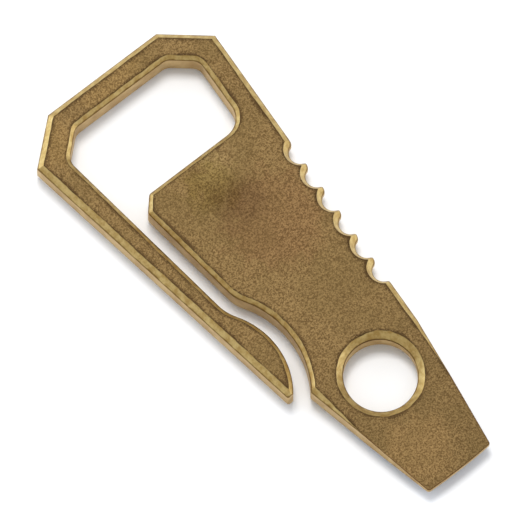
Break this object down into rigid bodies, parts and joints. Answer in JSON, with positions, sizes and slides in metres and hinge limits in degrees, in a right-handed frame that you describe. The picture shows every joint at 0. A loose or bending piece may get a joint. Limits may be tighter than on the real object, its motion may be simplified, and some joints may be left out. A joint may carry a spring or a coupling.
{
  "type": "keychain bottle opener",
  "caption": "Flat brass bottle opener with a hoop mouth, sprung clip arm, thumb notches, key-ring hole and driver tip.",
  "frame": {"origin": "under the middle of the plate, on its back face, where it lies on a table", "axes": "+Y towards the opener hoop, +X towards the thumb notches, +Z out of the upper face"},
  "size_m": [0.037, 0.0882, 0.0048],
  "materials": {
    "plate_brass": "tumbled, with a dark patina beside the bevels"
  },
  "bodies": {
    "tool_body": {"opener_hoop": "plate_brass", "grip_plate": "plate_brass", "driver_tail": "plate_brass"},
    "clip_arm": {"clip_arm": "plate_brass"}
  },
  "joints": [
    {"name": "clip_flex", "type": "hinge", "parent": "tool_body", "child": "clip_arm", "pos_m": [-0.01513, 0.0275, 0.00238], "axis": [0, 0, -1], "range_deg": [-1.5, 1.5], "stiffness_Nm_per_rad": 125}
  ]
}
